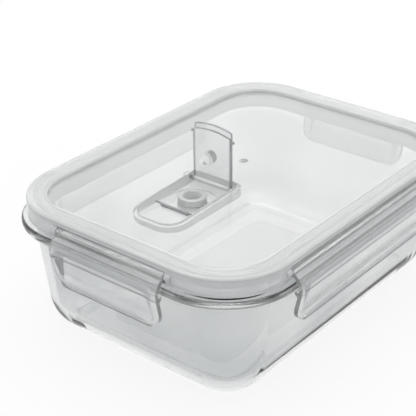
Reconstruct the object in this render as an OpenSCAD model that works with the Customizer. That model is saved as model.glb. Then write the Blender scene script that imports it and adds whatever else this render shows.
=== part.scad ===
// Rectangular glass lunch box with a clear locking lid.
// Frame: origin under the middle of the box on the surface that it stands on,
// +X along the long side, +Z up. The vent is at the -X end. Millimetres.

/* [Glass container] */
// Height of the lid's rim above the surface that the box stands on
rim_h = 75.4; // [60:0.1:110]
// Distance from the lid's edge in to the outside of the glass wall, just under its flange
glass_inset = 4.1; // [3.8:0.1:6]
// How much tighter the corners of the glass wall are than the lid's
glass_r_less = 7.5; // [3:0.5:9]
// Thickness of the glass wall
glass_t = 3.7; // [2.5:0.1:4.5]
// Thickness of the glass floor
floor_t = 4.6; // [3:0.1:6]
// Lean of the glass wall away from upright, in degrees
draft = 6.5; // [3:0.1:8]
// Outer radius between the glass wall and the floor
foot_r = 19.5; // [12:0.5:20]
// Depth of the hollow under the floor
punt_h = 0.8; // [0.3:0.1:1.5]
// Width of the flat foot outside that hollow
foot_w = 9; // [6:0.5:20]
// How far the glass flange stands out past the edge of the lid
flange_out = 3; // [1.5:0.1:4]
// Thickness of the glass flange
flange_t = 4.6; // [3:0.1:6]
// Height of the sealing lip above the flange
lip_h = 2.8; // [1.5:0.1:3]
// Width of the sealing lip
lip_w = 3.2; // [2.5:0.1:3.4]
// Radius of the flange's outer edges
flange_r = 2; // [1:0.1:2.2]

/* [Lid] */
// Length of the lid between its outer edges
lid_l = 202.4; // [200:0.1:212]
// Width of the lid between its outer edges
lid_w = 150; // [148:0.1:160]
// Corner radius of the lid's outer edge
lid_r = 35; // [28:0.5:36]
// Height of the lid's skirt at its corners
skirt_h = 9.9; // [8:0.1:9.9]
// Thickness of the lid's skirt
skirt_t = 2.4; // [1.5:0.1:2.6]
// Thickness of the lid's rim where it reaches over the latches
eave_t = 3.5; // [2.6:0.1:3.5]
// Thickness of the lid's rim over the gasket
rim_t = 2.6; // [1.8:0.1:3]
// Depth of the panel's edge below the rim
panel_drop = 2; // [1:0.1:3]
// Height of the crown at the middle of the panel above the panel's edge
crown_h = 4.4; // [2:0.1:6]
// Thickness of the panel
panel_t = 2; // [1.5:0.1:3]
// Thickness of the wall that reaches down inside the glass
plug_wall_t = 1.8; // [1.2:0.1:2.4]
// Depth of that wall below the rim
plug_wall_h = 13; // [11:0.5:16]
// Radius of the lid's outer top edge
edge_r = 1.2; // [0.6:0.1:1.4]

/* [Gasket] */
// Width of the silicone gasket
gasket_w = 3.4; // [2.8:0.1:3.4]
// Thickness of the rib that holds the gasket on its outer side
rib_t = 0.8; // [0.6:0.1:1]
// Thickness of the gasket's two sealing lips
gasket_lip_t = 1.1; // [0.8:0.1:1.3]
// Depth of the groove between the gasket's lips
gasket_groove = 1.6; // [1:0.1:2]

/* [Latches] */
// Length of the latches on the long sides
long_latch_l = 126; // [100:1:126]
// Length of the latches on the short sides
short_latch_l = 66; // [50:1:74]
// Height from the lid's rim down to the lower edge of a latch
latch_h = 33; // [31:0.1:36]
// Thickness of a latch's plate
latch_t = 2.1; // [1.8:0.1:2.3]
// Radius of a latch's hinge roll
roll_r = 1.9; // [1.7:0.1:2]
// Radius of the latch's shoulder over the glass flange
shoulder_r = 8.7; // [8.4:0.1:9.4]
// How far the shoulder stands out past the lid's edge
shoulder_out = 6.1; // [6:0.1:7]
// Height from the lid's rim down to the middle of the shoulder
shoulder_drop = 14; // [13.5:0.1:14.5]
// Lean of a latch's plate in towards the glass, in degrees
plate_lean = 12; // [6:0.5:13]
// Radius of the hinge pins at a latch's two ends
pin_r = 0.88; // [0.7:0.01:0.95]
// Wall of the lid's ears round a hinge pin
ear_wall = 0.9; // [0.7:0.1:1]
// Length of each hinge pin
pin_l = 2.8; // [2:0.1:2.8]
// Reach of a latch's hook under the glass flange
hook_bite = 1.4; // [0.6:0.1:1.6]
// Height of a latch's hook
hook_t = 1.6; // [1:0.1:2]
// Height of the pull lip along a latch's lower edge
pull_lip_h = 2.6; // [2:0.1:4]
// Width of the raised border round a latch's finger scoop
border_w = 4; // [3:0.5:9]
// Depth of a latch's finger scoop
scoop_d = 0.8; // [0.4:0.1:0.9]
// Radius of the scoop's lower corners
scoop_corner_r = 5; // [3:0.5:8]
// Radius of a latch's lower corners
latch_corner_r = 9; // [4:0.5:12]

/* [Vent] */
// Distance from the middle of the lid to the flap's hinge
hinge_x = 26.3; // [22:0.1:34]
// Height of the flap's hinge below the lid's rim
hinge_drop = 0.2; // [0:0.1:0.6]
// Width of the vent's well
well_w = 26.8; // [25.8:0.1:30]
// Distance from the flap's hinge to the rounded end of the well
well_reach = 46; // [42:0.1:50]
// Distance from the flap's hinge to the straight end of the well
well_back = 4.8; // [3:0.1:7]
// Depth of the well's floor below the lid's rim
well_drop = 3.4; // [3:0.1:4]
// Thickness of the well's walls
well_t = 1.8; // [1.2:0.1:2.4]
// Thickness of the well's floor
well_floor_t = 2.3; // [1.6:0.1:3]
// Radius of the dish round the silicone plug
dish_r = 12.4; // [10:0.1:12.8]
// Depth of that dish in the well's floor
dish_d = 0.5; // [0.3:0.1:0.8]
// Length of the bar across the well
bar_l = 17; // [12:0.5:20]
// Height of that bar
bar_h = 1.5; // [1:0.1:1.8]
// Thickness of that bar
bar_t = 1.5; // [1:0.1:2]
// Width of the flap
flap_w = 23; // [20:0.1:24]
// Length of the flap from its hinge to its free end
flap_l = 31.4; // [29:0.1:36]
// Thickness of the flap
flap_t = 2.2; // [1.8:0.1:2.6]
// Depth of the thumb ledge across the flap's free end
ledge_l = 2.8; // [2:0.1:5]
// Thickness taken off the flap along that ledge
ledge_d = 1.2; // [0.6:0.1:1.4]
// Radius of the small nubs that hold the flap shut
nub_r = 0.75; // [0.5:0.05:0.9]
// Distance from the flap's hinge to its nubs
nub_at = 25.3; // [22:0.1:27]
// Radius of the flap's hinge roll
flap_roll_r = 1.3; // [1.1:0.1:1.6]
// Radius of the flap's hinge pins
flap_pin_r = 1; // [0.8:0.01:1.1]
// Distance from the flap's hinge to its peg and the silicone plug
peg_at = 15; // [13.5:0.1:16]
// Radius of the flap's peg
peg_r = 3.35; // [2.5:0.05:4]
// Length of the flap's peg
peg_l = 5; // [4:0.1:5.4]
// Outer radius of the silicone plug's cup
cup_r = 7; // [6.2:0.1:8]
// Radius of the hollow in the plug's cup
cup_hollow_r = 4.6; // [4.3:0.1:4.9]
// Radius of the plug's neck in the well's floor
neck_r = 5.6; // [5.5:0.1:6]
// Radius of the flange that holds the plug under the well's floor
plug_flange_r = 7.6; // [7:0.1:9]
// Thickness of that flange
plug_flange_t = 1.5; // [1:0.1:2]
// Radius of the steam hole through the plug
steam_r = 1.2; // [0.8:0.1:1.6]

/* [Clearances] */
// Gap between the lid and the glass, and between sliding faces
gap = 0.5; // [0.3:0.1:0.6]
// Gap between the lid's inner wall and the glass at its rim
wall_gap = 1; // [0.8:0.1:1.5]
// Gap between the gasket or the plug and what it seals against
seal_gap = 0.2; // [0.1:0.05:0.3]
// Gap round a hinge pin in its bore
pin_gap = 0.07; // [0.04:0.01:0.1]

/* [Hidden] */
$fn = 96;
eps = 0.01;
glass_colour = [0.80, 0.86, 0.85, 0.45];
lid_colour = [0.90, 0.92, 0.93, 0.50];
latch_colour = [0.84, 0.88, 0.90, 0.55];
silicone_colour = [0.66, 0.69, 0.69, 0.85];

// Heights, from the surface that the box stands on
flange_top = rim_h - skirt_h - gap;
flange_low = flange_top - flange_t;
lip_top = flange_top + lip_h;
lean = tan(draft);
glass_l = lid_l - 2 * glass_inset;
glass_w = lid_w - 2 * glass_inset;
glass_r = lid_r - glass_r_less;

// The lid's profile is measured outward from the lid's edge, so inward is negative
glass_in = -glass_inset - glass_t;
lip_out = glass_in + lip_w;
plug_wall_out = glass_in - wall_gap;
plug_wall_in = plug_wall_out - plug_wall_t;
gasket_in = plug_wall_out + seal_gap;
gasket_out = gasket_in + gasket_w;
rib_in = gasket_out + seal_gap / 2;
rib_out = rib_in + rib_t;
rib_low = lip_top + gap;
gasket_top = rim_h - rim_t - seal_gap / 2;
gasket_low = lip_top + seal_gap;

// The latch's profile is measured from the lid's edge in the same way
pin_bore_r = pin_r + pin_gap;
ear_out = 1.2;
ear_l = pin_l + 0.6;
ear_r = pin_bore_r + ear_wall;
roll_at = [ear_out - ear_r, rim_h - eave_t - gap * 0.8 - roll_r];
hook_top = flange_low - 0.3;

// The vent's well
hinge_z = rim_h - hinge_drop;
plug_x = -hinge_x - peg_at;
well_floor = rim_h - well_drop;
well_low = well_floor - well_floor_t;
well_end = -hinge_x - well_reach;
well_start = -hinge_x + well_back;
well_end_r = 25;
well_corner_r = 9;
plug_top = hinge_z - seal_gap;
flap_bore_r = flap_pin_r + pin_gap;
flap_pin_l = 1.1;
skirt_low = rim_h - skirt_h;

// The four sides: the turn about Z from the side that faces -Y, the distance from the
// middle to the lid's edge there, and the latch's length
SIDES = [[0, lid_w / 2, long_latch_l], [180, lid_w / 2, long_latch_l],
         [-90, lid_l / 2, short_latch_l], [90, lid_l / 2, short_latch_l]];

// ---------- Shared shapes ----------

// Sweeps a profile round a rounded rectangle. The profile's x is measured outward
// from the rectangle's edge and its y is the height.
module sweep_round(length, width, radius) {
    cx = length / 2 - radius;
    cy = width / 2 - radius;
    for (q = [0:3]) {
        sx = (q == 0 || q == 3) ? 1 : -1;
        sy = q < 2 ? 1 : -1;
        translate([sx * cx, sy * cy, 0])
            rotate([0, 0, 90 * q])
                rotate_extrude(angle = 90)
                    translate([radius, 0])
                        children();
    }
    for (turn = [0, 180]) {
        rotate([0, 0, turn])
            translate([-cx, cy, 0])
                rotate([90, 0, 90])
                    linear_extrude(2 * cx)
                        translate([radius, 0])
                            children();
        rotate([0, 0, turn])
            translate([cx, cy, 0])
                rotate([90, 0, 0])
                    linear_extrude(2 * cy)
                        translate([radius, 0])
                            children();
    }
}

// A rounded rectangular slab between two heights
module rounded_slab(length, width, radius, low, high) {
    sweep_round(length, width, radius)
        translate([-radius, low])
            square([radius, high - low]);
    translate([radius - length / 2, radius - width / 2, low])
        cube([length - 2 * radius, width - 2 * radius, high - low]);
}

// Half profile of a tub: a leaning wall that rolls into a flat floor
module tub_profile(radius, top, wall_h, roll, floor_z) {
    roll_x = radius - lean * (wall_h - floor_z - roll) - roll / cos(draft);
    tangent = [roll_x + roll * cos(draft), floor_z + roll - roll * sin(draft)];
    intersection() {
        union() {
            polygon([[0, floor_z], [roll_x, floor_z], tangent,
                     [radius + lean * (top - wall_h), top], [0, top]]);
            translate([roll_x, floor_z + roll])
                circle(roll);
        }
        translate([0, floor_z])
            square([2 * radius, top - floor_z]);
    }
}

// Places what is drawn at the edge that faces -Y on one of the four sides
module at_side(side) {
    rotate([0, 0, side[0]])
        translate([0, -side[1], 0])
            children();
}

// A solid tub; its outer size is given at the height wall_h
module tub(length, width, radius, wall_h, roll, floor_z, top) {
    sweep_round(length, width, radius)
        translate([-radius, 0])
            tub_profile(radius, top, wall_h, roll, floor_z);
    translate([radius - length / 2, radius - width / 2, floor_z])
        cube([length - 2 * radius, width - 2 * radius, top - floor_z]);
}

// A square that keeps its corners but rounds the two outer ones
module rounded_edge(left, right, low, high, radius) {
    translate([left, low])
        square([right - radius - left, high - low]);
    translate([left, low + radius])
        square([right - left, high - low - 2 * radius]);
    for (y = [low + radius, high - radius])
        translate([right - radius, y])
            circle(radius);
}

// ---------- Glass container ----------

module glass_rim_profile() {
    lip_r = 1.1;
    rounded_edge(glass_in + glass_t / 2, flange_out, flange_low, flange_top,
                 min(flange_r, flange_t / 2 - eps));
    rounded_edge(glass_in - wall_gap, lip_out, flange_low + lip_r, lip_top, lip_r);
}

module glass_container() {
    color(glass_colour)
        difference() {
            union() {
                tub(glass_l, glass_w, glass_r, flange_top, foot_r, 0, flange_top);
                sweep_round(lid_l, lid_w, lid_r)
                    glass_rim_profile();
            }
            tub(glass_l - 2 * glass_t, glass_w - 2 * glass_t, glass_r - glass_t,
                flange_top, foot_r - glass_t, floor_t, lip_top + 1);
            punt();
        }
}

// The shallow hollow that leaves a flat foot round the edge of the base
module punt() {
    inset = lean * (flange_top - foot_r) + foot_r + foot_w;
    punt_r = 8;
    rounded_slab(glass_l - 2 * inset, glass_w - 2 * inset, punt_r, -1, punt_h);
}

// ---------- Lid ----------

// Half sizes of the panel, at the inner face of the wall that carries it
panel_a = lid_l / 2 + plug_wall_in;
panel_b = lid_w / 2 + plug_wall_in;
panel_cells = [10, 8];

// Height of the panel's upper surface at a point of the plan
function crown(x, y) =
    rim_h - panel_drop + crown_h * max(0, 1 - pow(x / panel_a, 2)) * max(0, 1 - pow(y / panel_b, 2));

// The crowned sheet, square at its corners; both faces follow crown()
module crowned_sheet() {
    nx = panel_cells[0];
    ny = panel_cells[1];
    margin = plug_wall_t / 2;
    xs = [for (i = [0:nx]) (2 * i / nx - 1) * (i == 0 || i == nx ? panel_a + margin : panel_a)];
    ys = [for (j = [0:ny]) (2 * j / ny - 1) * (j == 0 || j == ny ? panel_b + margin : panel_b)];
    layer = (nx + 1) * (ny + 1);
    points = [for (drop = [0, panel_t]) for (y = ys) for (x = xs) [x, y, crown(x, y) - drop]];
    upper = [for (j = [0:ny - 1]) for (i = [0:nx - 1]) for (half = [0, 1])
        let (a = j * (nx + 1) + i)
        half == 0 ? [a, a + nx + 2, a + 1] : [a, a + nx + 1, a + nx + 2]];
    lower = [for (f = upper) [f[0] + layer, f[2] + layer, f[1] + layer]];
    along = [for (i = [0:nx - 1]) for (edge = [0, 1])
        let (a = edge * ny * (nx + 1) + i)
        edge == 0 ? [a, a + 1, a + 1 + layer, a + layer] : [a + 1, a, a + layer, a + 1 + layer]];
    across = [for (j = [0:ny - 1]) for (edge = [0, 1])
        let (a = j * (nx + 1) + edge * nx)
        edge == 0 ? [a + nx + 1, a, a + layer, a + nx + 1 + layer]
                  : [a, a + nx + 1, a + nx + 1 + layer, a + layer]];
    polyhedron(points, concat(upper, lower, along, across));
}

module lid_panel() {
    reach = plug_wall_in + plug_wall_t / 2;
    intersection() {
        crowned_sheet();
        rounded_slab(lid_l + 2 * reach, lid_w + 2 * reach, lid_r + reach,
                     rim_h - plug_wall_h / 2, rim_h + crown_h);
    }
}

// Rim over the gasket, eave over the latches, gasket rib and the wall inside the glass
module lid_rim_profile() {
    translate([plug_wall_in, rim_h - rim_t])
        square([-plug_wall_in - edge_r, rim_t]);
    translate([rib_out, rim_h - eave_t])
        square([-rib_out - edge_r, eave_t]);
    translate([-edge_r - eps, rim_h - eave_t + edge_r])
        square([edge_r + eps, eave_t - 2 * edge_r]);
    for (y = [rim_h - edge_r, rim_h - eave_t + edge_r])
        translate([-edge_r, y])
            circle(edge_r);
    translate([rib_in, rib_low])
        square([rib_t, rim_h - rim_t - rib_low + eps]);
    translate([plug_wall_in, rim_h - plug_wall_h])
        square([plug_wall_t, plug_wall_h]);
}

// Skirt round the four corners, cut away where the latches hang
module lid_skirt() {
    difference() {
        sweep_round(lid_l, lid_w, lid_r)
            translate([-skirt_t, skirt_low])
                square([skirt_t, rim_h - edge_r - skirt_low]);
        for (side = SIDES)
            at_side(side)
                latch_bay(side[2]);
    }
}

// Space that a latch needs, drawn for the side that faces -Y
module latch_bay(length) {
    depth = 12;
    translate([-length / 2 - gap, -depth / 2, skirt_low - 1])
        cube([length + 2 * gap, depth, skirt_h + 2]);
}

// Ears at the two ends of a bay, which carry the latch's pins, and the blocks behind them
module hinge_ears(length) {
    for (end = [-1, 1]) {
        middle = end * (length / 2 + gap + ear_l / 2);
        translate([middle, -roll_at[0], roll_at[1]])
            rotate([0, 90, 0])
                cylinder(h = ear_l, r = ear_r, center = true);
        translate([middle - ear_l / 2, -roll_at[0], roll_at[1] - ear_r])
            cube([ear_l, skirt_t, rim_h - eave_t / 2 - roll_at[1] + ear_r]);
        translate([middle - ear_l / 2, -lip_out - gap - skirt_t, skirt_low])
            cube([ear_l, skirt_t, rim_h - eave_t / 2 - skirt_low]);
        translate([middle - ear_l / 2, -lip_out - gap, rib_low])
            cube([ear_l, lip_out + gap - rib_in, rim_h - eave_t / 2 - rib_low]);
    }
}

// Bores for a latch's two pins
module pin_bores(length) {
    bore_l = pin_l + gap / 2;
    for (end = [-1, 1])
        translate([end * (length / 2 + gap / 2 + bore_l / 2), -roll_at[0], roll_at[1]])
            rotate([0, 90, 0])
                cylinder(h = bore_l + gap, r = pin_bore_r, center = true);
}

// Plan of the vent's well, grown outward by extra
module well_plan(extra) {
    half = well_w / 2 + extra;
    end_r = well_corner_r + extra;
    start_r = 2 + extra;
    left = well_end - extra;
    right = well_start + extra;
    intersection() {
        union() {
            translate([left + end_r, -half])
                square([right - start_r - left - end_r, 2 * half]);
            translate([left, end_r - half])
                square([right - start_r - left, 2 * (half - end_r)]);
            translate([right - start_r - 1, start_r - half])
                square([start_r + 1, 2 * (half - start_r)]);
            for (s = [-1, 1]) {
                translate([left + end_r, s * (half - end_r)])
                    circle(end_r);
                translate([right - start_r, s * (half - start_r)])
                    circle(start_r);
            }
        }
        union() {
            translate([well_end + well_end_r, 0])
                circle(well_end_r + extra);
            translate([well_end + well_end_r, -2 * half])
                square([well_reach + well_back, 4 * half]);
        }
    }
}

// Bosses on the outside of the well for the flap's pins
module flap_bosses() {
    boss_r = 1.85;
    for (s = [-1, 1])
        translate([-hinge_x, s * (well_w / 2 + well_t), hinge_z])
            rotate([90, 0, 0])
                cylinder(h = 2 * well_t, r = boss_r, center = true);
}

module flap_bores() {
    bore_l = well_w + 2 * flap_pin_l + gap;
    translate([-hinge_x, 0, hinge_z])
        rotate([90, 0, 0])
            cylinder(h = bore_l, r = flap_bore_r, center = true);
}

// Bar across the well and the two low ribs that run from its walls
module well_bar() {
    rib_l = 5;
    rib_h = 0.7;
    bar_x = plug_x - dish_r - bar_t / 2;
    translate([bar_x - bar_t / 2, -bar_l / 2, well_floor - dish_d])
        cube([bar_t, bar_l, bar_h + dish_d]);
    for (s = [-1, 1])
        translate([bar_x + bar_t, s * (well_w / 2 - rib_l / 2), well_floor + rib_h / 2 - dish_d / 2])
            cube([1, rib_l, rib_h + dish_d], center = true);
}

// Walls and floor of the well. They rise in steps that end inside the crowned panel.
module well_housing() {
    steps = 4;
    left = well_end - well_t;
    run = (well_start + well_t - left) / steps;
    for (k = [0:steps - 1]) {
        high = crown(left + k * run, well_w / 2 + well_t) - panel_t / 4;
        intersection() {
            translate([0, 0, well_low])
                linear_extrude(high - well_low)
                    well_plan(well_t);
            translate([left + k * run, -well_w, well_low])
                cube([run, 2 * well_w, high - well_low]);
        }
    }
}

module lid() {
    color(lid_colour) {
        difference() {
            union() {
                sweep_round(lid_l, lid_w, lid_r)
                    lid_rim_profile();
                lid_skirt();
                for (side = SIDES)
                    at_side(side)
                        hinge_ears(side[2]);
                lid_panel();
                well_housing();
                flap_bosses();
            }
            translate([0, 0, well_floor])
                linear_extrude(well_drop + crown_h)
                    well_plan(0);
            translate([plug_x, 0, well_floor - dish_d])
                cylinder(h = dish_d + 1, r = dish_r);
            translate([plug_x, 0, well_low - 1])
                cylinder(h = well_floor_t + 2, r = neck_r + seal_gap / 2);
            flap_bores();
            for (side = SIDES)
                at_side(side)
                    pin_bores(side[2]);
        }
        well_bar();
    }
}

// ---------- Gasket ----------

module gasket_profile() {
    tip_r = gasket_lip_t / 2;
    body_low = gasket_low + gasket_groove;
    translate([gasket_in, body_low])
        square([gasket_w, gasket_top - body_low]);
    for (x = [gasket_in + tip_r, gasket_out - tip_r]) {
        translate([x - tip_r, gasket_low + tip_r])
            square([gasket_lip_t, gasket_groove]);
        translate([x, gasket_low + tip_r])
            circle(tip_r);
    }
}

module lid_gasket() {
    color(silicone_colour)
        sweep_round(lid_l, lid_w, lid_r)
            gasket_profile();
}

// ---------- Latches ----------

// The latch's section: x is measured outward from the lid's edge, y is the height.
// A hinge roll, a round shoulder over the glass flange, a leaning plate, a pull lip and a hook.
shoulder_at = [shoulder_out - shoulder_r, rim_h - shoulder_drop];
latch_low = rim_h - latch_h;
outward = [cos(plate_lean), -sin(plate_lean)];
down = [-sin(plate_lean), -cos(plate_lean)];
plate_out = shoulder_at + shoulder_r * outward;
plate_in = shoulder_at + (shoulder_r - latch_t) * outward;
plate_tip = shoulder_at + (shoulder_r - latch_t / 2) * [cos(plate_lean / 2), -sin(plate_lean / 2)];
plate_run = (plate_out[1] - latch_low - pull_lip_h) / cos(plate_lean);

module latch_profile() {
    inner_r = shoulder_r - latch_t;
    web_in = roll_at[0] - roll_r;
    web_z = shoulder_at[1] + sqrt(pow(inner_r, 2) - pow(web_in - shoulder_at[0], 2));
    translate(roll_at)
        circle(roll_r);
    intersection() {
        difference() {
            translate(shoulder_at)
                circle(shoulder_r);
            translate(shoulder_at)
                circle(inner_r);
        }
        polygon([shoulder_at, plate_out + (plate_out - shoulder_at),
                 [plate_out[0] + shoulder_r, roll_at[1]], roll_at, [web_in, roll_at[1]],
                 [web_in, web_z - roll_r]]);
    }
    polygon([roll_at, [web_in, roll_at[1]], [web_in, web_z], [roll_at[0], web_z]]);
    foot_out = plate_out + plate_run * down;
    foot_in = plate_in + plate_run * down;
    lip_turn = 1.4;
    polygon([plate_in, plate_tip, plate_out, foot_out, [foot_out[0] + lip_turn, latch_low],
             [foot_in[0] + latch_t / 2, latch_low], foot_in]);
    hook_in = flange_out - hook_bite;
    hook_out = plate_in[0] + latch_t / 2;
    hook_slant = 0.4;
    polygon([[hook_in, hook_top], [hook_out, hook_top], [hook_out, hook_top - 2 * hook_t],
             [hook_in + hook_slant, hook_top - hook_t]]);
}

// What the finger scoop takes off the outer face
module scoop_profile() {
    scoop_high = shoulder_at[1];
    scoop_low = latch_low + pull_lip_h;
    floor_from = shoulder_at + (shoulder_r - scoop_d) * outward;
    floor_to = floor_from + 2 * plate_run * down;
    difference() {
        translate([0, scoop_low])
            square([2 * shoulder_out, scoop_high - scoop_low]);
        translate(shoulder_at)
            circle(shoulder_r - scoop_d);
        polygon([floor_from, floor_to, [-shoulder_r, floor_to[1]], [-shoulder_r, floor_from[1]]]);
    }
}

// A block that is left of a corner once it is rounded, to take off a latch's corner
module corner_cutter(radius, reach) {
    difference() {
        translate([0, -reach / 2, -radius - 1])
            cube([radius + 1, reach, radius + 1]);
        rotate([90, 0, 0])
            cylinder(h = 2 * reach, r = radius, center = true);
    }
}

// A latch, drawn for the side that faces -Y
module latch(length) {
    scoop_l = length - 2 * border_w;
    reach = 4 * shoulder_out;
    scoop_low = latch_low + pull_lip_h;
    color(latch_colour) {
        difference() {
            rotate([90, 0, -90])
                linear_extrude(length, center = true)
                    latch_profile();
            difference() {
                rotate([90, 0, -90])
                    linear_extrude(scoop_l, center = true)
                        scoop_profile();
                for (s = [0, 1])
                    mirror([s, 0, 0])
                        translate([scoop_l / 2 - scoop_corner_r, 0, scoop_low + scoop_corner_r])
                            corner_cutter(scoop_corner_r, reach);
            }
            for (s = [0, 1])
                mirror([s, 0, 0])
                    translate([length / 2 - latch_corner_r, 0, latch_low + latch_corner_r])
                        corner_cutter(latch_corner_r, reach);
        }
        for (s = [-1, 1])
            translate([s * length / 2, -roll_at[0], roll_at[1]])
                rotate([0, 90, 0])
                    cylinder(h = 2 * pin_l, r = pin_r, center = true);
    }
}

module latch_front() {
    at_side(SIDES[0])
        latch(SIDES[0][2]);
}

module latch_back() {
    at_side(SIDES[1])
        latch(SIDES[1][2]);
}

module latch_left() {
    at_side(SIDES[2])
        latch(SIDES[2][2]);
}

module latch_right() {
    at_side(SIDES[3])
        latch(SIDES[3][2]);
}

// ---------- Vent ----------

flap_end_r = 43;
flap_corner_r = 1.5;

// The flap's outline: x across it, y from its hinge to its curved free end
module flap_plan() {
    inset = flap_w / 2 - flap_corner_r;
    end_at = flap_l - flap_end_r;
    corner_at = end_at + sqrt(pow(flap_end_r - flap_corner_r, 2) - pow(inset, 2));
    tangent = inset * flap_end_r / (flap_end_r - flap_corner_r);
    translate([-flap_w / 2, 0])
        square([flap_w, corner_at]);
    intersection() {
        translate([-tangent, corner_at - flap_corner_r])
            square([2 * tangent, 4 * flap_corner_r]);
        translate([0, end_at])
            circle(flap_end_r);
    }
    for (s = [-1, 1])
        translate([s * inset, corner_at])
            circle(flap_corner_r);
}

// The flap stands open, with its peg towards the well
module vent_flap() {
    color(latch_colour)
        translate([-hinge_x, 0, hinge_z]) {
            difference() {
                rotate([90, 0, 90])
                    linear_extrude(flap_t)
                        flap_plan();
                rotate([90, 0, 90])
                    translate([0, 0, -1])
                        linear_extrude(1 + ledge_d)
                            difference() {
                                translate([-flap_w, flap_l / 2])
                                    square([2 * flap_w, flap_l]);
                                translate([0, flap_l - flap_end_r])
                                    circle(flap_end_r - ledge_l);
                            }
            }
            rotate([90, 0, 0])
                cylinder(h = flap_w, r = flap_roll_r, center = true);
            rotate([90, 0, 0])
                cylinder(h = well_w + 2 * flap_pin_l, r = flap_pin_r, center = true);
            translate([0.5 - (peg_l + 0.5) / 2, 0, peg_at])
                rotate([0, 90, 0])
                    cylinder(h = peg_l + 0.5, r = peg_r, center = true);
            translate([flap_t / 2, 0, nub_at])
                rotate([90, 0, 0])
                    cylinder(h = well_w - 2 * seal_gap, r = nub_r, center = true);
        }
}

// Silicone plug: a cup in the well, a neck through its floor and a flange under it
module vent_plug() {
    cup_low = well_floor - dish_d + seal_gap / 2;
    flange_high = well_low - seal_gap / 2;
    hollow_low = hinge_z - peg_l - seal_gap / 2;
    round_r = 0.5;
    color(silicone_colour)
        translate([plug_x, 0, 0])
            rotate_extrude() {
                difference() {
                    union() {
                        translate([0, cup_low])
                            square([cup_r, plug_top - round_r - cup_low]);
                        translate([0, plug_top - 2 * round_r])
                            square([cup_r - round_r, 2 * round_r]);
                        translate([cup_r - round_r, plug_top - round_r])
                            circle(round_r);
                        translate([0, flange_high - eps])
                            square([neck_r, cup_low - flange_high + 2 * eps]);
                        translate([0, flange_high - plug_flange_t])
                            square([plug_flange_r, plug_flange_t]);
                    }
                    translate([-1, hollow_low])
                        square([cup_hollow_r + 1, plug_top - hollow_low + 1]);
                    translate([-1, flange_high - plug_flange_t - 1])
                        square([steam_r + 1, plug_flange_t + 10]);
                }
            }
}

glass_container();
lid();
lid_gasket();
latch_front();
latch_back();
latch_left();
latch_right();
vent_flap();
vent_plug();
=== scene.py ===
import math

import bmesh
import bpy
from mathutils import Matrix, Vector


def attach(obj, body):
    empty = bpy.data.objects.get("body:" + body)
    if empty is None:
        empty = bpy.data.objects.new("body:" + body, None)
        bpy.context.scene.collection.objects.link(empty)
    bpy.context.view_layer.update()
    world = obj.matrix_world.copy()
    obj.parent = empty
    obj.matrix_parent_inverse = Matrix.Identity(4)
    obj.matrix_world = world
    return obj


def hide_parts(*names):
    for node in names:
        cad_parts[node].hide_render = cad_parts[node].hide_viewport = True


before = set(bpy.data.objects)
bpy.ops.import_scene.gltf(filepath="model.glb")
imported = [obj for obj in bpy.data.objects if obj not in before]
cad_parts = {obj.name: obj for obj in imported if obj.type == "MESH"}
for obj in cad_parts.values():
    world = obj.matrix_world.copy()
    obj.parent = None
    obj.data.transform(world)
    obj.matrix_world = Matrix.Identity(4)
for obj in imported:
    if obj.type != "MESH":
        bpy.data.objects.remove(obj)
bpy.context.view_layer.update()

# ---------- Sizes in millimetres, from the same values as the solids ----------
# Heights are above the table. A distance "out" is measured outward from the lid's edge,
# so what lies further in than the edge is negative.

MM = 0.001
NEAR = 0.01
QUARTER = math.pi / 2

# Glass container
LIP_TOP, FLANGE_TOP, FLANGE_LOW = 67.8, 65.0, 60.4
LIP_OUT, FLANGE_OUT = -4.6, 3.0
GLASS_INSET, GLASS_T, FLOOR_T, FLOOR_INSET = 4.1, 3.7, 4.6, 31.2
DRAFT = math.tan(math.radians(6.5))
FOOT_R, FOOT_W, PUNT_H, PUNT_R = 19.5, 9.0, 0.8, 8
CORNER_PULL, LIP_PULL_WAY, UNDER_PULL_OUT, UNDER_PULL_WAY = 3.4, 2.88, -3.0, 1.7

# Lid
LID_L, LID_W, LID_R = 202.4, 150.0, 35.0
RIM_H, RIM_T, EAVE_T = 75.4, 2.6, 3.5
WALL_OUT, WALL_IN, WALL_H = -8.8, -10.6, 13
RIB_IN, RIB_OUT, RIB_LOW = -5.1, -4.3, 68.3
PANEL_A, PANEL_B = LID_L / 2 + WALL_IN, LID_W / 2 + WALL_IN
PANEL_T, PANEL_DROP, CROWN_H = 2.0, 2.0, 4.4
SKIRT_T, SKIRT_LOW = 2.4, 65.5
GROOVES, GROOVE_W, GROOVE_D = (-9.0, -5.4, -3.9), 0.56, 0.22
GATE_R, GATE_D, GATE_PIP_R, GATE_PIP_H = 2.2, 0.35, 0.8, 0.8
EAR_R = 1.85
GAP, PIN_GAP = 0.5, 0.07

# Gasket
GASKET_OUT, GASKET_IN, GASKET_TOP, GASKET_LOW = -5.2, -8.6, 72.7, 68.0
GASKET_LIP_T, GASKET_GROOVE = 1.1, 1.6

# Latches
LONG_LATCH, SHORT_LATCH = 126.0, 66.0
ROLL_OUT, ROLL_Z, ROLL_R = -0.65, 69.6, 1.9
SHOULDER_OUT, SHOULDER_Z, SHOULDER_R = -2.6, 61.4, 8.7
LATCH_T, LATCH_LOW, LATCH_CORNER_R = 2.1, 42.4, 9
LEAN, PLATE_OUT, PLATE_TOP = math.radians(12), 5.91, 59.59
SCOOP_TOP, SCOOP_DEEP, SCOOP_LOW = 65.4, 61.2, 43.9
SCOOP_D, SCOOP_BORDER, SCOOP_CORNER_R = 0.95, 3.6, 5
PIN_R, PIN_L = 0.88, 2.8

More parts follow.
